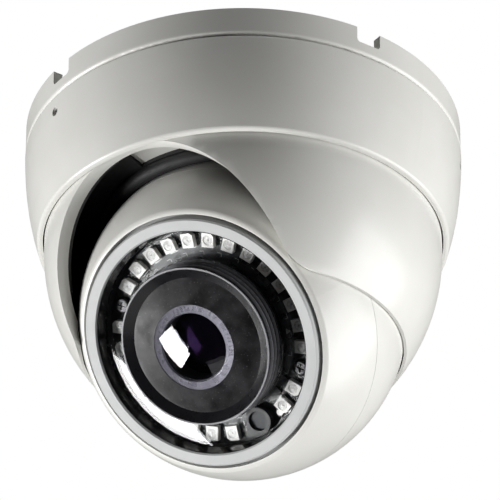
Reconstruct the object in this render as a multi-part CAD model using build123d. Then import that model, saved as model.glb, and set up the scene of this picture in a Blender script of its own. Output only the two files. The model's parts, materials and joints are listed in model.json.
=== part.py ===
"""Ceiling-mounted dome camera of the three-axis turret kind, in millimetres.

The origin is the middle of the base's ceiling face. +Z points up into the ceiling,
so the camera hangs below z = 0, and the lens looks towards -Y and down.

Three nested turns aim the lens:
  pan   the dome shell turns about Z inside the trim ring,
  tilt  the ball turns about X on two pivot screws in the dome shell,
  roll  the front half of the ball turns about the lens axis on the rear half.

Parts of the head are drawn in the head's own frame: its origin is the ball's centre,
local Z runs out through the lens and is called "height", and local Y is the head's up.
"""

import os
from math import cos, radians, sin, sqrt

from build123d import *

# ---------------------------------------------------------------- driving sizes
# Mounting base: a shallow pan, open towards the ceiling.
BASE_R = 52.8
BASE_H = 7.4
BASE_WALL = 2.5
BASE_LIP_ROUND = 1.0
NOTCH_ANGLES = [-20, 70, 160, 250]
NOTCH_W = 6.6
NOTCH_H = 4.2
NOTCH_CORNER_R = 1.0
BOLT_R = 39.0
BOLT_ANGLES = [30, 150, 270]
BOLT_HOLE_R = 2.25
BOLT_HEAD_R = 4.5
BOLT_BOSS_R = 6.0
BOLT_SEAT_Z = -4.0
HUB_R = 15.0
HUB_BORE_R = 10.0
HUB_SEAT_Z = -1.2
COLLAR_R = 48.8
COLLAR_WALL = 1.5
COLLAR_END_Z = -18.0
CABLE_BORE_R = 5.5
GROMMET_NECK_R = 8.5
GROMMET_FLANGE_R = 9.8
GROMMET_FLANGE_T = 1.5
COVER_R = 46.9
COVER_T = 2.0
COVER_SCREW_R = 26.0
COVER_SCREW_ANGLES = [0, 120, 240]
COVER_SCREW_L = 2.6

# Bayonet between the base collar and the trim ring.
LUG_ANGLES = [30, 150, 270]
LEDGE_SPAN = 18
LUG_SPAN = 16
LEDGE_R = 50.2
LUG_INNER_R = 49.2
LEDGE_T = 2.0
LUG_TOP_Z = -13.4
LUG_T = 2.0

# Trim ring.
RING_TOP_Z = -7.9
RING_END_Z = -32.2
RING_TOP_R = 52.9
RING_INNER_R = 50.5
RING_SEAT_Z = -25.3
RING_BORE_R = 48.15
RING_POCKET_R = 49.7
SET_SCREW_ANGLES = [-22.6, 120]
SET_SCREW_Z = -12.2
SET_SCREW_R = 1.15
SET_SCREW_FIT = 0.05
SET_SCREW_RECESS = 0.7
SET_SCREW_GAP = 0.2
HEX_SOCKET_R = 0.7
HEX_SOCKET_DEPTH = 1.2

# Dome shell that pans.
DOME_R = 47.78
DOME_Z = -34.8
DOME_WALL = 3.3
DOME_RIM_Z = -62.6
FLANGE_R = 49.3
FLANGE_INNER_R = 31.4
FLANGE_TOP_Z = -22.5
FLANGE_T = 2.5
SLOT_R = 31.1
SLOT_Z = -61.3
SLOT_CORNER_R = 3.0
LINER_T = 1.2
LINER_END_Z = -49.0
LINER_GAP_LEFT = -5.3
LINER_GAP_RIGHT = 9.0
SEAT_BAND_R = 34.2
SEAT_MAJOR_R = 32.6
SEAT_MINOR_R = 1.7
SEAT_Z = -27.2

# Strap over the ball.
STRAP_HALF_W = 16.8
STRAP_HALF_L = 42.5
STRAP_T = 1.6
STRAP_TOP_Z = -10.4
STRAP_HOLE_R = 7.0
STRAP_FOOT = 6.0
STRAP_SCREW_X = 12.0
STRAP_SCREW_Y = 38.2

# Ball, split across the lens axis.
BALL_R = 39.2
BALL_Z = -52.4
BALL_GAP = 0.3
BALL_WALL = 2.6
LENS_TILT = 44.0
SEAM_H = 8.0
SEAM_GAP = 0.1
LIP_H = 22.8
LIP_R = 31.0
LIP_ROUND = 1.4
WEB_BACK_H = 5.6
COLLAR_TOP_H = 10.9
SPIGOT_R = 27.5
SPIGOT_BORE_R = 24.7
SPIGOT_TOP_H = 11.2
ROLL_FIT = 0.05
ROLL_RING_R = 30.0
ROLL_RING_T = 1.6
SEAL_OUT_R = 33.6
SEAL_IN_R = 32.0
SEAL_BACK_H = 6.6
GLAND_NECK_R = 4.0
GLAND_FLANGE_R = 5.6
GLAND_BORE_R = 2.4
GLAND_FLANGE_T = 1.6
ROLL_SCREW_AT_R = 26.1
ROLL_SCREW_ANGLES = [45, 135, 225, 315]
ROLL_SCREW_HEAD_R = 1.3
ROLL_SCREW_HEAD_T = 0.75
ROLL_SCREW_SHANK_R = 0.8
ROLL_SCREW_SINK = 0.8
ROLL_SCREW_L = 2.6
LEDGE_H = 13.6
LEDGE_IN_R = 30.2
PIVOT_R = 3.5
PIVOT_FIT = 0.05
PIVOT_BOSS_R = 6.0
PIVOT_INNER_X = 33.0
PIVOT_OUTER_X = 41.3
PIVOT_HEAD_R = 5.2
PIVOT_HEAD_T = 1.6
PIVOT_SLOT_W = 1.0
PIVOT_PAD_T = 4.0

# Front module. Heights are along the lens axis.
BOARD_BACK_H = 15.0
BOARD_T = 1.6
BOARD_TOP_H = BOARD_BACK_H + BOARD_T
FRAME_BACK_H = 13.2
FRAME_BORE_R = 10.6
BEZEL_R = 30.1
BEZEL_IN_R = 27.15
BEZEL_TOP_H = 24.0
BEZEL_FLANGE_H = 19.6
BEZEL_CHAMFER = 0.35
WINDOW_BACK_H = 19.3
WINDOW_T = 1.5
WINDOW_SEEN_R = 26.4
WINDOW_IN_R = 19.4
LED_RING_R = 23.7
LED_SLOTS = 28
LED_FIRST = -39.2
LED_RADIAL = 3.5
LED_ACROSS = 3.0
LED_H = 1.6
LED_CUP_R = 1.2
LED_CUP_DEPTH = 0.5
LED_CORNER = 0.7
CHIP_SIZE = (1.2, 2.0, 0.6)
CHIP_PLACES = [(24.2, 159), (20.6, 140), (20.4, 150), (20.5, -150), (20.5, -140), (20.5, 60), (20.5, 70)]
BOARD_SCREW_ANGLES = [-52.1, 127.9]
SENSOR_ANGLE = 172.0
SENSOR_AT_R = 22.75
SENSOR_CUP_R = 3.3
SENSOR_R = 2.4
SENSOR_T = 1.5
SHROUD_R = 18.4
SHROUD_WALL = 0.9
SHROUD_TOP_H = 27.0
SHROUD_RIM_R = 19.1
SHROUD_RIM_IN_R = 18.75
RIDGES = 4
RIDGE_R = 19.3
RIDGE_FIRST_H = 19.5
RIDGE_PITCH = 1.8
RIDGE_HALF_H = 0.5
CONE_R = 16.4
CONE_EDGE_H = 25.6
CONE_TOP_H = 27.4
CONE_T = 1.2
LENS_R = 8.27
LENS_RING_R = 10.31
LENS_RING_TOP_H = 27.2
LENS_RING_T = 0.8
LENS_GLASS_EDGE = 0.4
LENS_BULGE = 2.0
LENS_BACK_CURVE = 24.0
BARREL_BACK_H = 4.0
BARREL_WALL_R = 9.6
BARREL_NECK_R = 6.8
WIDE_GLASS_R = 8.0
MID_GLASS_R = 5.6
REAR_GLASS_R = 4.6
HOLDER_W = 20.0
HOLDER_CORNER_R = 1.5
HOLDER_NECK_R = 8.4
HOLDER_NECK_TOP_H = 10.0
FILTER_W = 13.0
FILTER_L = 10.0
FILTER_T = 0.8
FILTER_H = 2.6
FILTER_BAY_H = 3.0

# Electronics behind the lens.
SENSOR_BOARD_H = -1.6
MAIN_BOARD_H = -11.6
SINK_H = -22.0
BOARD_R = 23.0
POST_AT_R = 19.0
POST_ANGLES = [45, 135, 225, 315]
POST_HEX_R = 2.2
IMAGE_SENSOR_SIZE = (10.4, 8.6, 1.2)
BOARD_PARTS = {
    "processor": (0, 0, 12, 12, 1.4),
    "memory": (0, 12, 9, 7, 1.0),
    "coil": (12, 2, 6, 6, 3.0),
    "power_socket": (-13, 3, 4, 10, 4.5),
    "lamp_socket": (2, -13, 10, 4, 4.5),
}
SINK_T = 2.4
FIN_COUNT = 9
FIN_PITCH = 4.6
FIN_T = 1.4
FIN_DEPTH = 4.0
SCREW_HEAD_R = 1.9
SCREW_HEAD_T = 1.2
SCREW_SHANK_R = 1.0

SIN_TILT = sin(radians(LENS_TILT))
COS_TILT = cos(radians(LENS_TILT))
HEAD = Plane(
    origin=(0, 0, BALL_Z),
    x_dir=(1, 0, 0),
    z_dir=(0, -COS_TILT, -SIN_TILT),
).location
BALL_CENTRE = Location((0, 0, BALL_Z))
DOME_CENTRE = Location((0, 0, DOME_Z))


# ---------------------------------------------------------------- shape helpers
def disc(radius, z_low, z_high):
    """Solid cylinder about Z between two levels."""
    return Location((0, 0, (z_low + z_high) / 2)) * Cylinder(radius, z_high - z_low)


def tube(outer, inner, z_low, z_high):
    """Plain ring about Z with square edges."""
    return disc(outer, z_low, z_high) - disc(inner, z_low - 1, z_high + 1)


def turned(*points):
    """Solid turned about Z from a closed outline of (radius, z) points."""
    outline = Polyline([(r, 0, z) for r, z in points], close=True)
    return revolve(make_face(outline), Axis.Z)


def ball(radius):
    """Solid sphere about the origin."""
    return Sphere(radius)


def polar(radius, angle, z=0):
    """Place on a circle; base angles run from -Y towards +X."""
    turn = radians(angle)
    return Location((radius * sin(turn), -radius * cos(turn), z), (0, 0, angle))


def clock(radius, angle, height=0):
    """Place on the lens face; angles run clockwise from the head's up."""
    turn = radians(angle)
    return Location((radius * sin(turn), radius * cos(turn), height), (0, 0, -angle))


def sector(outer, inner, z_low, z_high, angle, span):
    """Piece of a ring, centred on a base angle."""
    start = angle - 90 - span / 2
    corners = []
    for turn in (radians(start), radians(start + span)):
        corners.append((2 * outer * cos(turn), 2 * outer * sin(turn)))
    wedge = extrude(make_face(Polyline((0, 0), *corners, close=True)), z_high - z_low)
    return tube(outer, inner, z_low, z_high) & (Location((0, 0, z_low)) * wedge)


def screw(head_r, head_t, shank_r, length):
    """Pan-head cross-recess screw; the head sits on z = 0 and the shank points to -Z."""
    head = disc(head_r, 0, head_t)
    head = fillet(head.edges().group_by(Axis.Z)[-1], head_t * 0.4)
    arm = head_r * 0.55
    recess = Box(2 * arm, arm * 0.4, head_t) + Box(arm * 0.4, 2 * arm, head_t)
    return head + disc(shank_r, -length, 0) - Location((0, 0, head_t)) * recess


def joined(places, piece, frame=Location()):
    """The same piece at several places in a frame, as separate solids."""
    return Compound([frame * place * piece for place in places])


# ---------------------------------------------------------------- fixed base
def mounting_base():
    """Pan with four rim notches, three screw bosses, a cable hub and the bayonet collar."""
    rim_in = BASE_R - BASE_WALL
    web_z = -BASE_H + BASE_WALL
    body = disc(BASE_R, -BASE_H, 0)
    body = fillet(body.edges().group_by(Axis.Z)[0], BASE_LIP_ROUND)
    body -= disc(rim_in, web_z, 1)
    body += tube(HUB_R, HUB_BORE_R, web_z, HUB_SEAT_Z)
    for angle in BOLT_ANGLES:
        body += polar(BOLT_R, angle) * disc(BOLT_BOSS_R, web_z, 0)
    body += tube(COLLAR_R, COLLAR_R - COLLAR_WALL, COLLAR_END_Z, -BASE_H)
    for angle in LUG_ANGLES:
        ledge_top = COLLAR_END_Z + LEDGE_T
        body += sector(LEDGE_R, COLLAR_R - COLLAR_WALL, COLLAR_END_Z, ledge_top, angle, LEDGE_SPAN)
    notch = Box(NOTCH_W, 4 * BASE_WALL, 2 * NOTCH_H)
    notch = fillet(notch.edges().filter_by(Axis.Y), NOTCH_CORNER_R)
    for angle in NOTCH_ANGLES:
        body -= polar(BASE_R, angle) * notch
    for angle in BOLT_ANGLES:
        body -= polar(BOLT_R, angle) * disc(BOLT_HOLE_R, -BASE_H - 1, 1)
        body -= polar(BOLT_R, angle) * disc(BOLT_HEAD_R, -BASE_H - 1, BOLT_SEAT_Z)
    body -= disc(GROMMET_NECK_R, -BASE_H - 1, web_z + 1)
    for angle in COVER_SCREW_ANGLES:
        body -= polar(COVER_SCREW_R, angle) * disc(SCREW_SHANK_R, -BASE_H - 1, web_z - 0.5)
    return body


def hub_gasket():
    """Foam ring that seals the cable hub against the ceiling."""
    return tube(HUB_R - 0.2, HUB_BORE_R + 0.2, HUB_SEAT_Z, 0)


def cable_grommet():
    """Rubber grommet with a flange on each side of the base web."""
    web_z = -BASE_H + BASE_WALL
    body = disc(GROMMET_FLANGE_R, -BASE_H - GROMMET_FLANGE_T, -BASE_H)
    body += disc(GROMMET_NECK_R, -BASE_H, web_z)
    body += disc(GROMMET_FLANGE_R, web_z, web_z + GROMMET_FLANGE_T)
    body = fillet(body.edges().group_by(Axis.Z)[0], 0.7)
    return body - disc(CABLE_BORE_R, -2 * BASE_H, 1)


def inner_cover():
    """Black cover under the base web."""
    body = tube(COVER_R, HUB_BORE_R + 0.5, -BASE_H - COVER_T, -BASE_H)
    for angle in BOLT_ANGLES:
        body -= polar(BOLT_R, angle) * disc(BOLT_HEAD_R + 0.5, -2 * BASE_H, 0)
    for angle in COVER_SCREW_ANGLES:
        place = polar(COVER_SCREW_R, angle)
        body -= place * disc(SCREW_SHANK_R, -2 * BASE_H, 0)
        body -= place * disc(SCREW_HEAD_R, -2 * BASE_H, -BASE_H - COVER_T + SCREW_HEAD_T)
    return body


def cover_screws():
    """Three screws that hold the cover, heads sunk flush and facing down."""
    piece = Rotation(180, 0, 0) * screw(SCREW_HEAD_R, SCREW_HEAD_T, SCREW_SHANK_R, COVER_SCREW_L)
    seat_z = -BASE_H - COVER_T + SCREW_HEAD_T
    return joined([polar(COVER_SCREW_R, angle, seat_z) for angle in COVER_SCREW_ANGLES], piece)


def pan_friction_ring():
    """Rubber ring under the collar that damps the pan."""
    inner = COLLAR_R - COLLAR_WALL
    body = tube(COLLAR_R, inner, FLANGE_TOP_Z + BALL_GAP, COLLAR_END_Z)
    return fillet(body.edges().group_by(Axis.Z)[0], 0.5)


# ---------------------------------------------------------------- trim ring
def ring_radius(z):
    """Outer radius of the trim ring, drawing in ever faster towards the bottom."""
    t = (RING_TOP_Z - z) / (RING_TOP_Z - RING_END_Z)
    return RING_TOP_R - 0.4 * t - 2.2 * t**2 - 0.9 * t**3


def trim_ring():
    """Outer ring with a smooth curved side, a seat for the dome flange and bayonet lugs."""
    levels = [RING_TOP_Z + (RING_END_Z - RING_TOP_Z) * i / 6 for i in range(7)]
    end_r = ring_radius(RING_END_Z)
    side = Spline([(ring_radius(z), 0, z) for z in levels])
    rest = Polyline(
        (end_r, 0, RING_END_Z),
        (RING_BORE_R, 0, RING_END_Z),
        (RING_BORE_R, 0, RING_SEAT_Z),
        (RING_POCKET_R, 0, RING_SEAT_Z),
        (RING_POCKET_R, 0, RING_SEAT_Z + 3.5),
        (RING_INNER_R, 0, RING_SEAT_Z + 6.0),
        (RING_INNER_R, 0, RING_TOP_Z),
        (ring_radius(RING_TOP_Z), 0, RING_TOP_Z),
    )
    body = revolve(make_face([side, rest]), Axis.Z)
    body = fillet(body.edges().group_by(Axis.Z)[0].sort_by(SortBy.RADIUS)[-1], 0.9)
    body = fillet(body.edges().group_by(Axis.Z)[-1].sort_by(SortBy.RADIUS)[-1], 0.5)
    for angle in LUG_ANGLES:
        body += sector(RING_INNER_R + 0.5, LUG_INNER_R, LUG_TOP_Z - LUG_T, LUG_TOP_Z, angle, LUG_SPAN)
    hole = Rotation(90, 0, 0) * Cylinder(SET_SCREW_R + SET_SCREW_FIT, 12)
    for angle in SET_SCREW_ANGLES:
        body -= polar(BASE_R, angle, SET_SCREW_Z) * hole
    return body


def set_screw(angle):
    """Grub screw with a hex socket; its tip sits just clear of the base collar."""
    tip_r = COLLAR_R + SET_SCREW_GAP
    length = ring_radius(SET_SCREW_Z) - SET_SCREW_RECESS - tip_r
    body = disc(SET_SCREW_R, 0, length)
    socket = extrude(RegularPolygon(HEX_SOCKET_R, 6), HEX_SOCKET_DEPTH)
    body -= Location((0, 0, length - HEX_SOCKET_DEPTH)) * socket
    return polar(tip_r, angle, SET_SCREW_Z) * (Rotation(90, 0, 0) * body)


# ---------------------------------------------------------------- pan shell
def slot_cutter(extra=0.0):
    """Round-topped slot through the front of the dome, with soft corners at the rim."""
    radius = SLOT_R + extra
    corner = SLOT_CORNER_R
    outline = Pos(0, SLOT_Z) * Circle(radius)
    outline += Pos(0, SLOT_Z - radius / 2) * Rectangle(2 * radius, radius)
    for side in (-1, 1):
        foot = Pos(side * (radius + corner / 2), DOME_RIM_Z + corner / 2) * Rectangle(corner, corner)
        outline += foot - Pos(side * (radius + corner), DOME_RIM_Z + corner) * Circle(corner)
    upright = Plane(origin=(0, 0, 0), x_dir=(1, 0, 0), z_dir=(0, -1, 0))
    return extrude(upright * outline, DOME_R + 2)


def dome_outline(radius):
    """Solid of the dome: a straight skirt above its centre and part of a sphere below."""
    body = disc(radius, DOME_Z, FLANGE_TOP_Z)
    below = (DOME_CENTRE * ball(radius)) & disc(radius + 1, DOME_RIM_Z, DOME_Z)
    return body + below


def dome_shell():
    """White shell that pans: skirt, flange, arched front slot and bored pads for the tilt pivots."""
    flange_z = FLANGE_TOP_Z - FLANGE_T
    body = dome_outline(DOME_R)
    body += disc(FLANGE_R, flange_z, FLANGE_TOP_Z)
    body -= slot_cutter()
    inside = disc(DOME_R - DOME_WALL, DOME_Z, flange_z)
    inside += (DOME_CENTRE * ball(DOME_R - DOME_WALL)) & disc(DOME_R, DOME_RIM_Z - 1, DOME_Z)
    for side in (-1, 1):
        pad = Cylinder(PIVOT_BOSS_R + 1.5, PIVOT_PAD_T)
        inside -= Location((side * (PIVOT_OUTER_X - 1), 0, BALL_Z), (0, 90, 0)) * pad
    inside += BALL_CENTRE * ball(BALL_R + BALL_GAP)
    inside += disc(FLANGE_INNER_R, flange_z - 1, FLANGE_TOP_Z + 1)
    body -= inside
    for side in (-1, 1):
        place = Location((side * PIVOT_OUTER_X / 2, 0, BALL_Z), (0, 90, 0))
        body -= place * Cylinder(PIVOT_R, PIVOT_OUTER_X)
    for place in strap_screw_places(FLANGE_TOP_Z):
        body -= place * disc(SCREW_SHANK_R, -FLANGE_T, 1)
    return body


def shell_liner():
    """Black liner inside the shell, with a shelf that carries the ball seat."""
    shelf_top = FLANGE_TOP_Z - FLANGE_T
    outer = DOME_R - DOME_WALL
    inner = outer - LINER_T
    body = disc(outer, DOME_Z, shelf_top)
    body += (DOME_CENTRE * ball(outer)) & disc(outer, LINER_END_Z, DOME_Z)
    space = disc(inner, DOME_Z, shelf_top - 1)
    space += (DOME_CENTRE * ball(inner)) & disc(outer, LINER_END_Z - 1, DOME_Z)
    body -= space
    body -= disc(FLANGE_INNER_R, shelf_top - 2, shelf_top + 1)
    gap_w = LINER_GAP_RIGHT - LINER_GAP_LEFT
    gap_x = (LINER_GAP_LEFT + LINER_GAP_RIGHT) / 2
    body -= Location((gap_x, -outer / 2, shelf_top)) * Box(gap_w, outer, 2 * (shelf_top - DOME_Z))
    body += tube(SEAT_BAND_R, FLANGE_INNER_R, shelf_top - 1, shelf_top)
    for side in (-1, 1):
        place = Location((side * PIVOT_OUTER_X, 0, BALL_Z), (0, 90, 0))
        body -= place * Cylinder(PIVOT_BOSS_R + 1.6, 12)
    return body - slot_cutter(0.8)


def ball_seat_ring():
    """Black rubber ring that the ball is held against."""
    body = Location((0, 0, SEAT_Z)) * Torus(SEAT_MAJOR_R, SEAT_MINOR_R)
    return body & disc(2 * SEAT_MAJOR_R, SEAT_Z - 5, FLANGE_TOP_Z - FLANGE_T - 1)


def strap_screw_places(z):
    """The strap's four screw places at one level."""
    corners = [(i * STRAP_SCREW_X, j * STRAP_SCREW_Y) for i in (-1, 1) for j in (-1, 1)]
    return [Location((x, y, z)) for x, y in corners]


def clamp_strap():
    """Pressed strap that bridges the flange over the ball."""
    foot_y = STRAP_HALF_L - STRAP_FOOT
    height = STRAP_TOP_Z - FLANGE_TOP_Z
    section = Polyline(
        (-foot_y, 0), (-STRAP_HALF_L, 0), (-STRAP_HALF_L, height), (STRAP_HALF_L, height),
        (STRAP_HALF_L, 0), (foot_y, 0), (foot_y, STRAP_T), (STRAP_HALF_L - STRAP_T, STRAP_T),
        (STRAP_HALF_L - STRAP_T, height - STRAP_T), (STRAP_T - STRAP_HALF_L, height - STRAP_T),
        (STRAP_T - STRAP_HALF_L, STRAP_T), (-foot_y, STRAP_T), close=True,
    )
    side = Plane(origin=(-STRAP_HALF_W, 0, FLANGE_TOP_Z), x_dir=(0, 1, 0), z_dir=(1, 0, 0))
    body = extrude(side * make_face(section), 2 * STRAP_HALF_W)
    body = fillet(body.edges().filter_by(Axis.X).group_by(Axis.Z)[-1], 1.2)
    body -= disc(STRAP_HOLE_R, FLANGE_TOP_Z, 0)
    for place in strap_screw_places(FLANGE_TOP_Z):
        body -= place * disc(SCREW_SHANK_R, -1, STRAP_T + 1)
    return body


def strap_screws():
    """Four screws through the strap's feet into the flange."""
    piece = screw(SCREW_HEAD_R, SCREW_HEAD_T, SCREW_SHANK_R, STRAP_T + 2.0)
    return joined(strap_screw_places(FLANGE_TOP_Z + STRAP_T), piece)


def tilt_pivots():
    """Two shoulder screws on the tilt axis, heads inside the ball, tips in the dome shell."""
    shank = disc(PIVOT_R, PIVOT_INNER_X - 0.1, PIVOT_OUTER_X)
    head_z = PIVOT_INNER_X - 0.1
    head = disc(PIVOT_HEAD_R, head_z - PIVOT_HEAD_T, head_z)
    head = fillet(head.edges().group_by(Axis.Z)[0], 0.5)
    slot = Location((0, 0, head_z - PIVOT_HEAD_T)) * Box(PIVOT_SLOT_W, 2 * PIVOT_HEAD_R, 1.2)
    piece = shank + head - slot
    return joined([Location((0, 0, BALL_Z), (0, side * 90, 0)) for side in (-1, 1)], piece)


# ---------------------------------------------------------------- rear half of the ball
def ball_rear_shell():
    """Rear half of the ball with pivot bosses, the roll spigot and a cable hole at the back."""
    back_top = SEAM_H - SEAM_GAP / 2
    body = ball(BALL_R) & disc(BALL_R + 1, -BALL_R - 1, back_top)
    body -= ball(BALL_R - BALL_WALL) & disc(BALL_R, -BALL_R, WEB_BACK_H)
    body -= disc(SPIGOT_BORE_R, WEB_BACK_H - 1, back_top + 1)
    body += tube(SPIGOT_R, SPIGOT_BORE_R, WEB_BACK_H, SPIGOT_TOP_H)
    body -= tube(SEAL_OUT_R, SEAL_IN_R, SEAL_BACK_H, back_top + 1)
    for side in (-1, 1):
        boss = Location((side * (PIVOT_INNER_X + 2), 0, 0), (0, 90, 0)) * Cylinder(PIVOT_BOSS_R, 4)
        hole = Location((side * BALL_R, 0, 0), (0, 90, 0)) * Cylinder(PIVOT_R + PIVOT_FIT, 20)
        body = body + boss - hole
    body -= disc(GLAND_NECK_R, -BALL_R - 1, -BALL_R / 2)
    for angle in ROLL_SCREW_ANGLES:
        body -= clock(ROLL_SCREW_AT_R, angle) * disc(ROLL_SCREW_SHANK_R, SEAM_H, SPIGOT_TOP_H + 1)
    return HEAD * body


def roll_seal():
    """Rubber seal in the seam between the two halves of the ball."""
    body = tube(SEAL_OUT_R, SEAL_IN_R, SEAL_BACK_H, SEAM_H)
    return HEAD * fillet(body.edges().group_by(Axis.Z)[-1], 0.4)


def roll_retainer():
    """Flat ring on the end of the spigot that keeps the front half on."""
    top = SPIGOT_TOP_H + ROLL_RING_T
    body = tube(ROLL_RING_R, SPIGOT_BORE_R, SPIGOT_TOP_H, top)
    for angle in ROLL_SCREW_ANGLES:
        place = clock(ROLL_SCREW_AT_R, angle)
        body -= place * disc(ROLL_SCREW_SHANK_R, SPIGOT_TOP_H - 1, top + 1)
        body -= place * disc(ROLL_SCREW_HEAD_R, top - ROLL_SCREW_SINK, top + 1)
    return HEAD * body


def roll_screws():
    """Small screws through the retainer into the spigot."""
    piece = screw(ROLL_SCREW_HEAD_R, ROLL_SCREW_HEAD_T, ROLL_SCREW_SHANK_R, ROLL_SCREW_L)
    seat = SPIGOT_TOP_H + ROLL_RING_T - ROLL_SCREW_SINK
    return joined([clock(ROLL_SCREW_AT_R, angle, seat) for angle in ROLL_SCREW_ANGLES], piece, HEAD)


def head_gland():
    """Rubber cable gland in the back of the ball."""
    inner_h = -sqrt((BALL_R - BALL_WALL) ** 2 - GLAND_FLANGE_R**2)
    body = disc(GLAND_FLANGE_R, inner_h, inner_h + GLAND_FLANGE_T)
    body += disc(GLAND_NECK_R, -BALL_R + 0.6, inner_h)
    return HEAD * (body - disc(GLAND_BORE_R, -BALL_R, 0))


# ---------------------------------------------------------------- front half of the ball
def ball_front_shell():
    """Front half of the ball: rounded lip, roll collar and the ledge that carries the module."""
    front_back = SEAM_H + SEAM_GAP / 2
    body = ball(BALL_R) & disc(BALL_R + 1, front_back, LIP_H)
    body = fillet(body.edges().group_by(Axis.Z)[-1], LIP_ROUND)
    body -= disc(LIP_R, BOARD_BACK_H, LIP_H + 1)
    body -= ball(BALL_R - BALL_WALL) & disc(BALL_R, BOARD_BACK_H, LIP_H)
    body -= disc(LEDGE_IN_R, LEDGE_H - 0.1, BOARD_BACK_H)
    body -= ball(BALL_R - BALL_WALL) & disc(BALL_R, COLLAR_TOP_H, LEDGE_H)
    body -= disc(SPIGOT_R + ROLL_FIT, front_back - 1, COLLAR_TOP_H + 1)
    return HEAD * body


def module_frame():
    """Aluminium carrier that holds the board, clamped on the shell's ledge by the bezel."""
    body = disc(LIP_R, BOARD_BACK_H, BOARD_TOP_H) - disc(BEZEL_IN_R, BOARD_BACK_H, BOARD_TOP_H + 1)
    body += disc(LEDGE_IN_R - 0.1, FRAME_BACK_H, BOARD_BACK_H)
    body -= disc(FRAME_BORE_R, FRAME_BACK_H - 1, BOARD_TOP_H)
    for angle in BOARD_SCREW_ANGLES:
        body -= clock(LED_RING_R, angle) * disc(SCREW_SHANK_R, FRAME_BACK_H - 1, BOARD_TOP_H)
    return HEAD * body


def bezel_ring():
    """Painted ring around the window; its foot closes the groove inside the shell's lip."""
    body = turned(
        (BEZEL_IN_R, BOARD_TOP_H), (LIP_R, BOARD_TOP_H), (LIP_R, BEZEL_FLANGE_H),
        (BEZEL_R, BEZEL_FLANGE_H + 0.4), (BEZEL_R, BEZEL_TOP_H), (BEZEL_IN_R, BEZEL_TOP_H),
    )
    front = body.edges().group_by(Axis.Z)[-1]
    return HEAD * chamfer(front, BEZEL_CHAMFER)


def window_gasket():
    """Black rubber ring between the board's edge and the window."""
    return HEAD * tube(BEZEL_IN_R, WINDOW_SEEN_R, BOARD_TOP_H, WINDOW_BACK_H)


def led_window():
    """Clear ring over the lamps."""
    body = tube(BEZEL_IN_R, WINDOW_IN_R, WINDOW_BACK_H, WINDOW_BACK_H + WINDOW_T)
    inner = body.edges().group_by(Axis.Z)[-1].sort_by(SortBy.RADIUS)[0]
    return HEAD * chamfer(inner, 0.25)


def window_frame():
    """Gloss black ring that holds the window's outer edge, sloping out to the bezel."""
    foot = WINDOW_BACK_H + WINDOW_T
    body = turned(
        (WINDOW_SEEN_R, foot), (BEZEL_IN_R, foot), (BEZEL_IN_R, BEZEL_TOP_H - 0.5),
        (BEZEL_IN_R - 0.2, BEZEL_TOP_H - 0.4),
    )
    return HEAD * body


def led_angles():
    """Lamp slots that hold a lamp: all but the two screws' and the light sensor's two."""
    every = [LED_FIRST + 360 / LED_SLOTS * i for i in range(LED_SLOTS)]
    blocked = [(angle, 6) for angle in BOARD_SCREW_ANGLES] + [(SENSOR_ANGLE, 9)]
    return [
        angle
        for angle in every
        if all(abs((angle - at + 180) % 360 - 180) > reach for at, reach in blocked)
    ]


def led_board():
    """Round lamp board with a central hole for the lens."""
    body = tube(BEZEL_IN_R, FRAME_BORE_R + 1, BOARD_BACK_H, BOARD_TOP_H)
    for angle in BOARD_SCREW_ANGLES:
        body -= clock(LED_RING_R, angle) * disc(SCREW_SHANK_R, BOARD_BACK_H - 1, BOARD_TOP_H + 1)
    return HEAD * body


def leds():
    """Lamp bodies on one circle: a round cup in each top and one corner cut."""
    piece = Box(LED_ACROSS, LED_RADIAL, LED_H)
    corner = piece.edges().filter_by(Axis.Z).sort_by(lambda e: e.center().X + e.center().Y)[-1]
    piece = Location((0, 0, LED_H / 2)) * chamfer(corner, LED_CORNER)
    piece -= disc(LED_CUP_R, LED_H - LED_CUP_DEPTH, LED_H + 1)
    return joined([clock(LED_RING_R, angle, BOARD_TOP_H) for angle in led_angles()], piece, HEAD)


def led_dies():
    """Clear fill in each lamp's cup."""
    low = LED_H - LED_CUP_DEPTH
    piece = disc(LED_CUP_R, low, low + LED_CUP_DEPTH * 0.7)
    return joined([clock(LED_RING_R, angle, BOARD_TOP_H) for angle in led_angles()], piece, HEAD)


def board_screws():
    """Two screws that hold the lamp board to the carrier."""
    piece = screw(SCREW_HEAD_R, SCREW_HEAD_T, SCREW_SHANK_R, BOARD_T + 1.2)
    return joined([clock(LED_RING_R, angle, BOARD_TOP_H) for angle in BOARD_SCREW_ANGLES], piece, HEAD)


def board_chips():
    """Surface-mount parts between the lamps and the shroud."""
    piece = Location((0, 0, CHIP_SIZE[2] / 2)) * Box(*CHIP_SIZE)
    return joined([clock(radius, angle, BOARD_TOP_H) for radius, angle in CHIP_PLACES], piece, HEAD)


def light_sensor_cup():
    """Black cup around the light sensor."""
    top = WINDOW_BACK_H - 0.3
    body = tube(SENSOR_CUP_R, SENSOR_R, BOARD_TOP_H, top)
    return HEAD * (clock(SENSOR_AT_R, SENSOR_ANGLE) * body)


def light_sensor():
    """Round light sensor on the board."""
    body = disc(SENSOR_R, BOARD_TOP_H, BOARD_TOP_H + SENSOR_T)
    body = fillet(body.edges().group_by(Axis.Z)[-1], 0.3)
    return HEAD * (clock(SENSOR_AT_R, SENSOR_ANGLE) * body)


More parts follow.
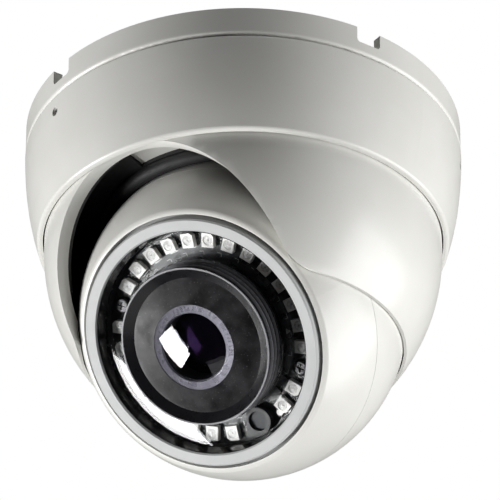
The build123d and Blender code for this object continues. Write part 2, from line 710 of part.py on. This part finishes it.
def lens_shroud():
    """Ribbed black tube around the lens, with a thin rim and an inner flange for the cone."""
    inner = SHROUD_R - SHROUD_WALL
    body = turned(
        (inner, BOARD_TOP_H), (SHROUD_R, BOARD_TOP_H), (SHROUD_R, SHROUD_TOP_H - 0.8),
        (SHROUD_RIM_R, SHROUD_TOP_H - 0.4), (SHROUD_RIM_R, SHROUD_TOP_H),
        (SHROUD_RIM_IN_R, SHROUD_TOP_H), (CONE_R, CONE_EDGE_H), (CONE_R, CONE_EDGE_H - CONE_T - 0.6),
        (inner, CONE_EDGE_H - CONE_T - 1.8),
    )
    for i in range(RIDGES):
        level = RIDGE_FIRST_H + i * RIDGE_PITCH
        body += turned(
            (SHROUD_R - 0.2, level - RIDGE_HALF_H), (RIDGE_R, level - RIDGE_HALF_H / 3),
            (RIDGE_R, level + RIDGE_HALF_H / 3), (SHROUD_R - 0.2, level + RIDGE_HALF_H),
        )
    return HEAD * body


def lens_cone():
    """Shallow grey cone between the shroud and the lens."""
    ring_r = LENS_RING_R
    body = turned(
        (CONE_R, CONE_EDGE_H - CONE_T), (CONE_R, CONE_EDGE_H),
        (ring_r, CONE_TOP_H), (ring_r, CONE_TOP_H - CONE_T),
    )
    return HEAD * body


def lens_ring():
    """Flat ring that shows through the edge of the front glass."""
    return HEAD * tube(LENS_RING_R, LENS_R, LENS_RING_TOP_H - LENS_RING_T, LENS_RING_TOP_H)


def bulged(radius, edge_h, back_h, bulge):
    """Glass disc with a domed front."""
    curve_r = (radius**2 + bulge**2) / (2 * bulge)
    front = Location((0, 0, edge_h + bulge - curve_r)) * ball(curve_r)
    return front & disc(radius, back_h, edge_h + bulge + 1)


def lens_front_glass():
    """Large front element: domed outside, hollowed behind, seated on the ring."""
    edge = LENS_RING_TOP_H + LENS_GLASS_EDGE
    body = bulged(LENS_RING_R, edge, LENS_RING_TOP_H, LENS_BULGE)
    drop = sqrt(LENS_BACK_CURVE**2 - LENS_R**2)
    return HEAD * (body - Location((0, 0, LENS_RING_TOP_H - drop)) * ball(LENS_BACK_CURVE))


def lens_barrel():
    """Black barrel: wide at the front element and narrow at the rear."""
    top = LENS_RING_TOP_H - LENS_RING_T
    body = turned(
        (REAR_GLASS_R, BARREL_BACK_H), (BARREL_NECK_R, BARREL_BACK_H), (BARREL_NECK_R, 13.0),
        (BARREL_WALL_R, 16.5), (BARREL_WALL_R, top), (WIDE_GLASS_R, top), (WIDE_GLASS_R, 17.0),
        (MID_GLASS_R, 14.6), (MID_GLASS_R, 9.0), (REAR_GLASS_R, 9.0),
    )
    return HEAD * body


def lens_inner_glass():
    """Three smaller elements inside the barrel."""
    wide = bulged(WIDE_GLASS_R, 21.6, 20.0, 1.2)
    middle = bulged(MID_GLASS_R, 12.6, 11.4, 0.7)
    rear = bulged(REAR_GLASS_R, 7.2, 5.6, 0.6)
    return Compound([HEAD * piece for piece in (wide, middle, rear)])


def lens_holder():
    """Black block that joins the lens barrel to the sensor board, with the filter bay inside."""
    low = SENSOR_BOARD_H
    body = Location((0, 0, (low + BARREL_BACK_H) / 2)) * Box(HOLDER_W, HOLDER_W, BARREL_BACK_H - low)
    body = fillet(body.edges().filter_by(Axis.Z), HOLDER_CORNER_R)
    body += tube(HOLDER_NECK_R, BARREL_NECK_R, BARREL_BACK_H, HOLDER_NECK_TOP_H)
    body -= Location((0, 0, low)) * Box(FILTER_W, FILTER_W, 2 * FILTER_BAY_H)
    return HEAD * (body - disc(REAR_GLASS_R, low, BARREL_BACK_H + 1))


def cut_filter():
    """Infrared filter plate in the holder."""
    return HEAD * (Location((0, 0, SENSOR_BOARD_H + FILTER_H)) * Box(FILTER_W, FILTER_L, FILTER_T))


def image_sensor():
    """Image sensor package on its board."""
    width, depth, height = IMAGE_SENSOR_SIZE
    return HEAD * (Location((0, 0, SENSOR_BOARD_H + height / 2)) * Box(width, depth, height))


def round_board(top_h):
    """Circuit board disc with four corner post holes."""
    body = disc(BOARD_R, top_h - BOARD_T, top_h)
    for angle in POST_ANGLES:
        body -= clock(POST_AT_R, angle) * disc(SCREW_SHANK_R, top_h - BOARD_T - 1, top_h + 1)
    return body


def sensor_board():
    """Board that carries the image sensor and the lens."""
    return HEAD * round_board(SENSOR_BOARD_H)


def main_board():
    """Processor board."""
    return HEAD * round_board(MAIN_BOARD_H)


def main_board_parts():
    """Processor, memory, coil and sockets on the processor board."""
    solids = []
    for x, y, width, depth, height in BOARD_PARTS.values():
        solids.append(HEAD * Location((x, y, MAIN_BOARD_H + height / 2)) * Box(width, depth, height))
    return Compound(solids)


def heat_sink():
    """Finned aluminium disc behind the processor board."""
    body = disc(BOARD_R, SINK_H, SINK_H + SINK_T)
    for i in range(FIN_COUNT):
        x = (i - (FIN_COUNT - 1) / 2) * FIN_PITCH
        reach = sqrt((BOARD_R - 1) ** 2 - x**2)
        body += Location((x, 0, SINK_H - FIN_DEPTH / 2)) * Box(FIN_T, 2 * reach, FIN_DEPTH)
    for angle in POST_ANGLES:
        body -= clock(POST_AT_R, angle) * disc(SCREW_SHANK_R, SINK_H + 0.6, SINK_H + SINK_T + 1)
    return HEAD * body


def posts():
    """Hexagon posts between the carrier, the boards and the heat sink."""
    spans = [
        (SENSOR_BOARD_H, FRAME_BACK_H),
        (MAIN_BOARD_H, SENSOR_BOARD_H - BOARD_T),
        (SINK_H + SINK_T, MAIN_BOARD_H - BOARD_T),
    ]
    solids = []
    for low, high in spans:
        hexagon = extrude(RegularPolygon(POST_HEX_R, 6), high - low)
        post = hexagon - disc(SCREW_SHANK_R, -1, 2) - disc(SCREW_SHANK_R, high - low - 2, high - low + 1)
        solids += [HEAD * clock(POST_AT_R, angle, low) * post for angle in POST_ANGLES]
    return Compound(solids)


NODES = {
    "mounting_base": mounting_base,
    "hub_gasket": hub_gasket,
    "cable_grommet": cable_grommet,
    "inner_cover": inner_cover,
    "cover_screws": cover_screws,
    "pan_friction_ring": pan_friction_ring,
    "trim_ring": trim_ring,
    "set_screw_front": lambda: set_screw(SET_SCREW_ANGLES[0]),
    "set_screw_rear": lambda: set_screw(SET_SCREW_ANGLES[1]),
    "dome_shell": dome_shell,
    "shell_liner": shell_liner,
    "ball_seat_ring": ball_seat_ring,
    "clamp_strap": clamp_strap,
    "strap_screws": strap_screws,
    "tilt_pivots": tilt_pivots,
    "ball_rear_shell": ball_rear_shell,
    "roll_seal": roll_seal,
    "roll_retainer": roll_retainer,
    "roll_screws": roll_screws,
    "head_gland": head_gland,
    "ball_front_shell": ball_front_shell,
    "module_frame": module_frame,
    "bezel_ring": bezel_ring,
    "window_gasket": window_gasket,
    "led_window": led_window,
    "window_frame": window_frame,
    "led_board": led_board,
    "leds": leds,
    "led_dies": led_dies,
    "board_screws": board_screws,
    "board_chips": board_chips,
    "light_sensor_cup": light_sensor_cup,
    "light_sensor": light_sensor,
    "lens_shroud": lens_shroud,
    "lens_cone": lens_cone,
    "lens_ring": lens_ring,
    "lens_front_glass": lens_front_glass,
    "lens_barrel": lens_barrel,
    "lens_inner_glass": lens_inner_glass,
    "lens_holder": lens_holder,
    "cut_filter": cut_filter,
    "image_sensor": image_sensor,
    "sensor_board": sensor_board,
    "main_board": main_board,
    "main_board_parts": main_board_parts,
    "heat_sink": heat_sink,
    "posts": posts,
}

os.makedirs("parts", exist_ok=True)
for name, build in NODES.items():
    shape = build()
    shape.label = name
    export_step(shape, f"parts/{name}.step")
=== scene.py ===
"""Looks of the ceiling dome camera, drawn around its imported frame, in metres."""

import json
from math import cos, radians, sin

import bpy
from mathutils import Matrix, Vector


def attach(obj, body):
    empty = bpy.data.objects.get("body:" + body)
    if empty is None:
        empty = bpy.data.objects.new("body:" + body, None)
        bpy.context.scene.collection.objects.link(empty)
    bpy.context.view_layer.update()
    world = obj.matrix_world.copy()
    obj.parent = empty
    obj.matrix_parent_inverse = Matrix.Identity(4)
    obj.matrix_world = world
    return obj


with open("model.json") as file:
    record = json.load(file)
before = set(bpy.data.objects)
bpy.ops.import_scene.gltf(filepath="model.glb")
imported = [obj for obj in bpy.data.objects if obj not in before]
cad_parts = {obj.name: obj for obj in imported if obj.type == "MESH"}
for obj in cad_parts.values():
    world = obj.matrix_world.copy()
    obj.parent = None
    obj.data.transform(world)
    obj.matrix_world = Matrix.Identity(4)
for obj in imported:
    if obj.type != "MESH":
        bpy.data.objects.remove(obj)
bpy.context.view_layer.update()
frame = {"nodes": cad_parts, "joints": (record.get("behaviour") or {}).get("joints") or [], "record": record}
NODES = frame["nodes"]
MM = 0.001

# ---------------------------------------------------------------- places
# The head at rest, from the joint that rolls it: its centre, and its right, up and lens axes.
ROLL = next(joint for joint in frame["joints"] if joint["name"] == "roll_turn")
BALL_CENTRE = Vector(ROLL["pos_m"])
LENS_AXIS = Vector(ROLL["axis"])
HEAD_RIGHT = Vector((1, 0, 0))
HEAD_UP = LENS_AXIS.cross(HEAD_RIGHT)
HEAD_TURN = Matrix((HEAD_RIGHT, HEAD_UP, LENS_AXIS)).transposed().to_4x4()
HEAD = Matrix.Translation(BALL_CENTRE) @ HEAD_TURN

# The lens side of the ball, in mm: _R is out from the lens axis, _H along it from the ball's centre,
# and _W, _L and _T are widths, lengths and thicknesses.
# Angles are in degrees, clockwise from the head's up; each _AT is a radius and an angle.
SHROUD_R = 18.4
RIDGE_R = 19.3
BOARD_TOP_H = 16.6
FILL_TOP_H = 18.05

LAMP_R = 23.7
LAMP_SLOTS = 28
LAMP_STEP = 360 / LAMP_SLOTS
LAMP_FIRST = -39.2
SCREW_ANGLES = [-52.1, 127.9]
SCREW_CLEARANCE = 6
SENSOR_ANGLE = 172.0
SENSOR_CLEARANCE = 9

PAD_W = 2.2
PAD_L = 0.6
PAD_T = 0.12
PAD_OFFSET = 1.85
DIE_W = 0.42
DIE_T = 0.08

INK_T = 0.04
MARK_R = 20.6
MARK_L = 1.1
MARK_W = 0.16
MARK_LEG = 0.7
MARK_LEG_DROP = 0.5
TRIANGLE_AT = (19.9, 106)
TRIANGLE = [(-0.7, -0.5), (0.7, -0.5), (0, 0.7)]
DIAMOND_AT = (23.9, -174)
DIAMOND = [(-0.6, 0), (0, -0.6), (0.6, 0), (0, 0.6)]

STATUS_LAMP_AT = (24.2, 159)
STATUS_LAMP_H = 17.2
STATUS_LAMP_R = 0.8
STATUS_LAMP_T = 0.3
STATUS_LAMP_SIDES = 20

# Rounding of the dome shell's edges, in metres and radians.
EDGE_ROUND = 0.5 * MM
EDGE_ANGLE = radians(40)
EDGE_SEGMENTS = 3
WELD_REACH = 1e-6

# The studio, in metres; bearings are in degrees.
CAMERA_AZIMUTH = 35.6
CAMERA_ELEVATION = -33.7
CAMERA_DISTANCE = 1.371
CAMERA_AIM = Vector((3.1, -1.5, -35.4)) * MM
CAMERA_LENS_MM = 412
CAMERA_SENSOR_MM = 36
CAMERA_CLIP_END = 20
LIGHT_DISTANCE = 1.3
ROOM_GREY = 0.004
FLOOR_Z = -3.2
FLOOR_HALF_W = 1.2


# ---------------------------------------------------------------- materials
# Most of a noise texture's values lie between these two.
NOISE_LOW = 0.3
NOISE_HIGH = 0.7

# Share of a light that passes straight through a pane.
PANE_PASSES = 0.92


class Surface:
    """A material whose colour, roughness and relief vary over the surface by noise."""

    def __init__(self, name, **constants):
        self.material = bpy.data.materials.new(name)
        self.material.use_nodes = True
        self.tree = self.material.node_tree
        self.shader = self.tree.nodes["Principled BSDF"]
        self.place = self.add("ShaderNodeTexCoord").outputs["Object"]
        for socket, value in constants.items():
            self.shader.inputs[socket.replace("_", " ")].default_value = value

    def add(self, kind, **settings):
        node = self.tree.nodes.new(kind)
        for key, value in settings.items():
            setattr(node, key, value)
        return node

    def link(self, source, target):
        self.tree.links.new(source, target)

    def noise(self, scale, detail=4.0):
        """Noise in the object's own space; scale is in waves per metre."""
        node = self.add("ShaderNodeTexNoise")
        node.inputs["Scale"].default_value = scale
        node.inputs["Detail"].default_value = detail
        self.link(self.place, node.inputs["Vector"])
        return node.outputs["Fac"]

    def ramp(self, factor, first, last):
        """Colour ramp between two (position, colour) stops."""
        node = self.add("ShaderNodeValToRGB")
        for element, (position, colour) in zip(node.color_ramp.elements, (first, last)):
            element.position = position
            element.color = (*colour, 1)
        self.link(factor, node.inputs["Fac"])
        return node.outputs["Color"]

    def colour(self, factor, low, high, spread=0.2):
        """Base colour that drifts between two near colours."""
        drift = self.ramp(factor, (0.5 - spread, low), (0.5 + spread, high))
        self.link(drift, self.shader.inputs["Base Color"])

    def roughness(self, factor, low, high):
        """Roughness between two values."""
        node = self.add("ShaderNodeMapRange")
        node.inputs["From Min"].default_value = NOISE_LOW
        node.inputs["From Max"].default_value = NOISE_HIGH
        node.inputs["To Min"].default_value = low
        node.inputs["To Max"].default_value = high
        self.link(factor, node.inputs["Value"])
        self.link(node.outputs["Result"], self.shader.inputs["Roughness"])

    def relief(self, factor, depth):
        """Bump of a real depth in metres."""
        node = self.add("ShaderNodeBump")
        node.inputs["Distance"].default_value = depth
        self.link(factor, node.inputs["Height"])
        self.link(node.outputs["Normal"], self.shader.inputs["Normal"])

    def lens_radius(self):
        """Distance out from the lens axis, in metres."""
        shift = self.add("ShaderNodeVectorMath", operation="SUBTRACT")
        shift.inputs[1].default_value = BALL_CENTRE
        self.link(self.place, shift.inputs[0])
        across = self.add("ShaderNodeVectorMath", operation="CROSS_PRODUCT")
        across.inputs[1].default_value = LENS_AXIS
        self.link(shift.outputs["Vector"], across.inputs[0])
        length = self.add("ShaderNodeVectorMath", operation="LENGTH")
        self.link(across.outputs["Vector"], length.inputs[0])
        return length.outputs["Value"]


def painted_white():
    """Semi-gloss off-white paint on cast metal, with a fine orange peel."""
    s = Surface("white_paint", Coat_Weight=0.15, Coat_Roughness=0.2, Specular_IOR_Level=0.45)
    s.colour(s.noise(60), (0.76, 0.755, 0.715), (0.80, 0.795, 0.76))
    s.roughness(s.noise(300), 0.30, 0.38)
    s.relief(s.noise(1400, detail=2.0), depth=0.012 * MM)
    return s.material


def bezel_grey():
    """Pale grey moulding of the ring around the window."""
    s = Surface("bezel_paint", Specular_IOR_Level=0.45)
    s.colour(s.noise(80), (0.52, 0.53, 0.53), (0.57, 0.58, 0.575))
    s.roughness(s.noise(400), 0.38, 0.46)
    s.relief(s.noise(2200, detail=2.0), depth=0.01 * MM)
    return s.material


def moulded_black(name, tone, rough_low, rough_high, grain):
    """Black moulded plastic or rubber with a fine spark-eroded grain."""
    s = Surface(name)
    deep = (tone, tone, tone * 1.05)
    pale = (tone * 1.6, tone * 1.6, tone * 1.7)
    s.colour(s.noise(200), deep, pale)
    s.roughness(s.noise(500), rough_low, rough_high)
    s.relief(s.noise(grain, detail=3.0), depth=0.02 * MM)
    return s.material


def shroud_black():
    """Satin black shroud, paler from its wall out to the tips of its ridges: a painted highlight along the
    ridges.
    """
    s = Surface("shroud_black", Coat_Weight=0.3, Coat_Roughness=0.15)
    reach = s.add("ShaderNodeMapRange")
    reach.inputs["From Min"].default_value = SHROUD_R * MM
    reach.inputs["From Max"].default_value = RIDGE_R * MM
    s.link(s.lens_radius(), reach.inputs["Value"])
    wall = (0.25, (0.009, 0.009, 0.011))
    # The pale colour at the ridge tips is a painted highlight, not the plastic's own tone.
    painted_highlight_tips = (0.72, (0.20, 0.20, 0.22))
    s.link(s.ramp(reach.outputs["Result"], wall, painted_highlight_tips), s.shader.inputs["Base Color"])
    s.roughness(s.noise(500), 0.24, 0.36)
    return s.material


def cone_grey():
    """Dark satin cone, cloudy and finely speckled with dust."""
    s = Surface("cone_grey", Specular_IOR_Level=0.3)
    cloud_stops = ((0.36, (0.002, 0.002, 0.003)), (0.68, (0.036, 0.034, 0.037)))
    dust_stops = ((0.66, (0.0, 0.0, 0.0)), (0.78, (0.10, 0.10, 0.10)))
    cloud = s.ramp(s.noise(170, detail=7.0), *cloud_stops)
    dust = s.ramp(s.noise(2600, detail=2.0), *dust_stops)
    both = s.add("ShaderNodeMixRGB", blend_type="ADD")
    both.inputs["Fac"].default_value = 1.0
    s.link(cloud, both.inputs["Color1"])
    s.link(dust, both.inputs["Color2"])
    s.link(both.outputs["Color"], s.shader.inputs["Base Color"])
    s.roughness(s.noise(260, detail=5.0), 0.30, 0.52)
    s.relief(s.noise(1600, detail=5.0), depth=0.02 * MM)
    return s.material


def lens_ring_metal():
    """Lilac-grey anodised ring under the edge of the front element."""
    s = Surface("lens_ring_metal", Metallic=0.3)
    s.colour(s.noise(400), (0.185, 0.185, 0.205), (0.225, 0.225, 0.25))
    s.roughness(s.noise(700), 0.42, 0.5)
    s.relief(s.noise(2400, detail=2.0), depth=0.006 * MM)
    return s.material


def bare_metal(name, low, high, rough_low, rough_high):
    """Bare metal with fine tooling variation."""
    s = Surface(name, Metallic=1.0)
    s.colour(s.noise(600), low, high)
    s.roughness(s.noise(900), rough_low, rough_high)
    s.relief(s.noise(3000, detail=2.0), depth=0.005 * MM)
    return s.material


def clear_glass(name, ior, low, high, rough):
    """Glass that bends what the camera sees but lets the lights straight through."""
    s = Surface(name, Transmission_Weight=1.0, IOR=ior)
    s.colour(s.noise(90), low, high)
    s.roughness(s.noise(200), 0.0, rough)
    through = s.add("ShaderNodeBsdfTransparent")
    through.inputs["Color"].default_value = (PANE_PASSES, PANE_PASSES, PANE_PASSES, 1)
    rays = s.add("ShaderNodeLightPath")
    mix = s.add("ShaderNodeMixShader")
    s.link(rays.outputs["Is Shadow Ray"], mix.inputs["Fac"])
    s.link(s.shader.outputs["BSDF"], mix.inputs[1])
    s.link(through.outputs["BSDF"], mix.inputs[2])
    s.link(mix.outputs["Shader"], s.tree.nodes["Material Output"].inputs["Surface"])
    return s.material


def inner_glass():
    """Elements deep in the lens: nearly black, with a faint violet coating."""
    s = Surface("inner_glass", Specular_IOR_Level=0.04, Specular_Tint=(0.6, 0.25, 1.0, 1.0))
    s.colour(s.noise(200), (0.001, 0.001, 0.002), (0.003, 0.002, 0.004))
    s.roughness(s.noise(300), 0.03, 0.07)
    return s.material


def solder_mask(name, low, high):
    """Glossy, faintly mottled and uneven mask on a circuit board."""
    s = Surface(name, Specular_IOR_Level=0.5)
    s.colour(s.noise(500, detail=6.0), low, high, spread=0.12)
    s.roughness(s.noise(400), 0.22, 0.4)
    s.relief(s.noise(900, detail=1.0), depth=0.03 * MM)
    return s.material


def lamp_body():
    """Cream moulded lamp package."""
    s = Surface("lamp_body", Specular_IOR_Level=0.4)
    s.colour(s.noise(700), (0.60, 0.59, 0.56), (0.72, 0.71, 0.69))
    s.roughness(s.noise(900), 0.35, 0.5)
    s.relief(s.noise(2600, detail=2.0), depth=0.01 * MM)
    return s.material


def lamp_fill():
    """Clear resin in a lamp's cup over its pale reflector."""
    s = Surface("lamp_fill", Coat_Weight=1.0, Coat_Roughness=0.05)
    s.colour(s.noise(1500, detail=2.0), (0.34, 0.33, 0.32), (0.62, 0.62, 0.60))
    s.roughness(s.noise(900), 0.15, 0.25)
    return s.material


def lamp_die():
    """Grey emitter chip in the middle of each lamp."""
    s = Surface("lamp_die", Metallic=0.4)
    s.colour(s.noise(1800, detail=2.0), (0.30, 0.28, 0.26), (0.44, 0.42, 0.40))
    s.roughness(s.noise(1500), 0.2, 0.35)
    return s.material


def silk_ink():
    """Worn off-white ink on the lamp board."""
    s = Surface("silk_ink")
    s.colour(s.noise(900, detail=5.0), (0.16, 0.16, 0.16), (0.42, 0.42, 0.41))
    s.roughness(s.noise(700), 0.5, 0.7)
    return s.material


def slate_sensor():
    """Dark blue-grey face of the light sensor."""
    s = Surface("slate_sensor", Specular_IOR_Level=0.25)
    s.colour(s.noise(900), (0.006, 0.009, 0.012), (0.014, 0.018, 0.023))
    s.roughness(s.noise(700), 0.3, 0.42)
    return s.material


def pale_floor():
    """Pale, faintly glowing studio floor with a soft mottle."""
    s = Surface("pale_floor", Emission_Color=(0.9, 0.9, 0.9, 1), Emission_Strength=0.45)
    s.colour(s.noise(6), (0.84, 0.84, 0.84), (0.88, 0.88, 0.88))
    s.roughness(s.noise(20), 0.6, 0.7)
    return s.material


def put_on(node, material):
    """Replace a CAD node's material."""
    slots = NODES[node].data.materials
    slots.clear()
    slots.append(material)


def assign_materials():
    """Give every CAD node its material."""
    rubber = moulded_black("black_rubber", 0.012, 0.55, 0.7, 1800)
    plastic = moulded_black("black_plastic", 0.010, 0.45, 0.6, 2200)
    gloss = moulded_black("gloss_black", 0.006, 0.06, 0.12, 600)
    steel = bare_metal("steel", (0.42, 0.42, 0.43), (0.52, 0.52, 0.53), 0.25, 0.4)
    aluminium = bare_metal("bare_aluminium", (0.66, 0.67, 0.68), (0.75, 0.76, 0.77), 0.35, 0.5)
    brass = bare_metal("brass", (0.62, 0.45, 0.18), (0.72, 0.55, 0.25), 0.25, 0.35)
    black_board = solder_mask("black_board", (0.008, 0.009, 0.010), (0.022, 0.024, 0.026))
    green_board = solder_mask("green_board", (0.01, 0.09, 0.03), (0.02, 0.14, 0.05))
    window = clear_glass("clear_window", 1.49, (0.96, 0.975, 0.98), (0.99, 0.995, 1.0), 0.02)
    coated = clear_glass("front_glass", 1.55, (0.78, 0.77, 0.84), (0.84, 0.83, 0.90), 0.015)
    oxide = bare_metal("black_oxide", (0.05, 0.05, 0.052), (0.09, 0.09, 0.092), 0.25, 0.4)
    by_slot = {
        "white_paint": painted_white(),
        "black_plastic": plastic,
        "shroud_black": shroud_black(),
        "gloss_black": gloss,
        "black_rubber": rubber,
        "strap_grey": steel,
        "steel": steel,
        "bare_aluminium": aluminium,
        "brass_posts": brass,
        "clear_window": window,
        "lens_glass": inner_glass(),
        "cone_grey": cone_grey(),
        "lens_ring_grey": lens_ring_metal(),
        "lamp_board": black_board,
        "green_board": green_board,
        "lamp_body": lamp_body(),
        "lamp_fill": lamp_fill(),
        "chips": plastic,
        "sensor_face": slate_sensor(),
    }
    for part in frame["record"]["subparts"]:
        put_on(part["node"], by_slot[part["material_slot"]])
    put_on("bezel_ring", bezel_grey())
    put_on("lens_front_glass", coated)
    put_on("board_screws", oxide)


# ---------------------------------------------------------------- printed and soldered detail
def on_face(radius, angle, height):
    """Place on the lens face; angles run clockwise from the head's up, sizes in mm."""
    turn = radians(angle)
    spot = Vector((radius * sin(turn), radius * cos(turn), height)) * MM
    return HEAD @ Matrix.Translation(spot) @ Matrix.Rotation(-turn, 4, "Z")


def prisms(name, material, outlines):
    """One piece of flat prisms on the rolling head: each is (place, thickness in mm, corners in mm)."""
    vertices = []
    faces = []
    for place, thickness, points in outlines:
        start = len(vertices)
        count = len(points)
        for level in (0, thickness):
            vertices += [place @ Vector((x * MM, y * MM, level * MM)) for x, y in points]
        faces.append([start + i for i in reversed(range(count))])
        faces.append([start + count + i for i in range(count)])
        for i in range(count):
            j = (i + 1) % count
            faces.append([start + i, start + j, start + count + j, start + count + i])
    mesh = bpy.data.meshes.new(name)
    mesh.from_pydata(vertices, [], faces)
    mesh.materials.append(material)
    piece = bpy.data.objects.new(name, mesh)
    bpy.context.scene.collection.objects.link(piece)
    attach(piece, "roll")


def box_outline(width, depth, y=0.0, x=0.0):
    """Corners of a rectangle around a point, in mm."""
    return [
        (x - width / 2, y - depth / 2),
        (x + width / 2, y - depth / 2),
        (x + width / 2, y + depth / 2),
        (x - width / 2, y + depth / 2),
    ]


def round_outline(radius, sides):
    """Corners of a many-sided disc, in mm."""
    turns = [radians(360 * i / sides) for i in range(sides)]
    return [(radius * cos(turn), radius * sin(turn)) for turn in turns]


def apart(angle, other):
    """Angle between two directions, in degrees."""
    return abs((angle - other + 180) % 360 - 180)


def lamp_angles():
    """Lamp places on the board, clear of its two screws and the light sensor."""
    every = [LAMP_FIRST + LAMP_STEP * i for i in range(LAMP_SLOTS)]
    blocked = [(angle, SCREW_CLEARANCE) for angle in SCREW_ANGLES]
    blocked.append((SENSOR_ANGLE, SENSOR_CLEARANCE))
    return [angle for angle in every if all(apart(angle, other) > gap for other, gap in blocked)]


def add_solder_pads():
    """A solder pad at the outer and the inner end of each lamp."""
    tin = bare_metal("solder_tin", (0.20, 0.20, 0.20), (0.32, 0.32, 0.31), 0.35, 0.55)
    ends = [box_outline(PAD_W, PAD_L, y=side * PAD_OFFSET) for side in (-1, 1)]
    places = [on_face(LAMP_R, angle, BOARD_TOP_H) for angle in lamp_angles()]
    pads = [(place, PAD_T, end) for place in places for end in ends]
    prisms("solder_pads", tin, pads)


def add_lamp_emitters():
    """The square emitter chip in the middle of each lamp."""
    outline = box_outline(DIE_W, DIE_W)
    dies = [(on_face(LAMP_R, angle, FILL_TOP_H), DIE_T, outline) for angle in lamp_angles()]
    prisms("lamp_emitters", lamp_die(), dies)


def add_printed_marks():
    """A dash and a leg between each two lamp places, a triangle and a diamond."""
    dash = box_outline(MARK_L, MARK_W)
    leg = box_outline(MARK_W, MARK_LEG, y=-MARK_LEG_DROP, x=MARK_L / 2)
    marks = []
    for i in range(LAMP_SLOTS):
        place = on_face(MARK_R, LAMP_FIRST + LAMP_STEP * (i + 0.5), BOARD_TOP_H)
        marks.append((place, INK_T, dash))
        marks.append((place, INK_T, leg))
    marks.append((on_face(*TRIANGLE_AT, BOARD_TOP_H), INK_T, TRIANGLE))
    marks.append((on_face(*DIAMOND_AT, BOARD_TOP_H), INK_T, DIAMOND))
    prisms("printed_marks", silk_ink(), marks)


def add_status_lamp():
    """The status lamp's round top, on the chip beside the light sensor."""
    disc = round_outline(STATUS_LAMP_R, STATUS_LAMP_SIDES)
    top = [(on_face(*STATUS_LAMP_AT, STATUS_LAMP_H), STATUS_LAMP_T, disc)]
    prisms("status_lamp", NODES["leds"].data.materials[0], top)


def soften(node):
    """Round a CAD node's sharp edges, after closing the splits along its creases."""
    weld = NODES[node].modifiers.new("weld", "WELD")
    weld.merge_threshold = WELD_REACH
    bevel = NODES[node].modifiers.new("round", "BEVEL")
    bevel.width = EDGE_ROUND
    bevel.segments = EDGE_SEGMENTS
    bevel.limit_method = "ANGLE"
    bevel.angle_limit = EDGE_ANGLE
    bevel.harden_normals = True


# ---------------------------------------------------------------- studio
def aimed(obj, place, target):
    """Stand an object at a place, looking at a target along its -Z."""
    obj.location = place
    obj.rotation_euler = (target - place).to_track_quat("-Z", "Y").to_euler()
    bpy.context.scene.collection.objects.link(obj)


def bearing(azimuth, elevation):
    """Unit vector outwards from the part: azimuth 0 is its front, and elevation 90 straight up."""
    a = radians(azimuth)
    e = radians(elevation)
    return Vector((sin(a) * cos(e), -cos(a) * cos(e), sin(e)))


def add_camera():
    """Camera at the photographed angle."""
    data = bpy.data.cameras.new("camera")
    data.lens = CAMERA_LENS_MM
    data.sensor_width = CAMERA_SENSOR_MM
    data.clip_end = CAMERA_CLIP_END
    camera = bpy.data.objects.new("camera", data)
    back = bearing(CAMERA_AZIMUTH, CAMERA_ELEVATION)
    aimed(camera, CAMERA_AIM + back * CAMERA_DISTANCE, CAMERA_AIM)
    bpy.context.scene.camera = camera


def softbox(name, azimuth, elevation, width, height, power, roll=0.0):
    """Rectangular area light on a bearing round the part, rolled about its beam."""
    data = bpy.data.lights.new(name, "AREA")
    data.shape = "RECTANGLE"
    data.size = width
    data.size_y = height
    data.energy = power
    light = bpy.data.objects.new(name, data)
    aimed(light, CAMERA_AIM + bearing(azimuth, elevation) * LIGHT_DISTANCE, CAMERA_AIM)
    turned = light.rotation_euler.to_matrix() @ Matrix.Rotation(radians(roll), 3, "Z")
    light.rotation_euler = turned.to_euler()


def add_lights():
    """A narrow light at the left, a broad one at the right and a soft one overhead."""
    softbox("key_left", -54, -28.6, width=0.5, height=0.66, power=20.5, roll=-10.4)
    softbox("broad_right", 122, -22, width=1.1, height=1.3, power=26)
    softbox("overhead", 35, 88, width=1.2, height=1.2, power=9)


def add_world():
    """White backdrop where the camera looks past the part, and a nearly black room around it."""
    world = bpy.data.worlds.new("studio")
    bpy.context.scene.world = world
    world.use_nodes = True
    tree = world.node_tree
    backdrop = tree.nodes["Background"]
    backdrop.inputs["Color"].default_value = (1, 1, 1, 1)
    room = tree.nodes.new("ShaderNodeBackground")
    room.inputs["Color"].default_value = (ROOM_GREY, ROOM_GREY, ROOM_GREY, 1)
    path = tree.nodes.new("ShaderNodeLightPath")
    mix = tree.nodes.new("ShaderNodeMixShader")
    tree.links.new(path.outputs["Is Camera Ray"], mix.inputs["Fac"])
    tree.links.new(room.outputs["Background"], mix.inputs[1])
    tree.links.new(backdrop.outputs["Background"], mix.inputs[2])
    tree.links.new(mix.outputs["Shader"], tree.nodes["World Output"].inputs["Surface"])


def add_floor():
    """Pale floor far below the part, so that no view from beneath meets it."""
    mesh = bpy.data.meshes.new("floor")
    half = FLOOR_HALF_W
    corners = [(-half, -half, 0), (half, -half, 0), (half, half, 0), (-half, half, 0)]
    mesh.from_pydata(corners, [], [(0, 1, 2, 3)])
    mesh.materials.append(pale_floor())
    floor = bpy.data.objects.new("floor", mesh)
    floor.location.z = FLOOR_Z
    bpy.context.scene.collection.objects.link(floor)


assign_materials()
soften("dome_shell")
add_solder_pads()
add_lamp_emitters()
add_printed_marks()
add_status_lamp()
add_world()
add_floor()
add_lights()
add_camera()
bpy.context.scene.view_settings.view_transform = "Standard"
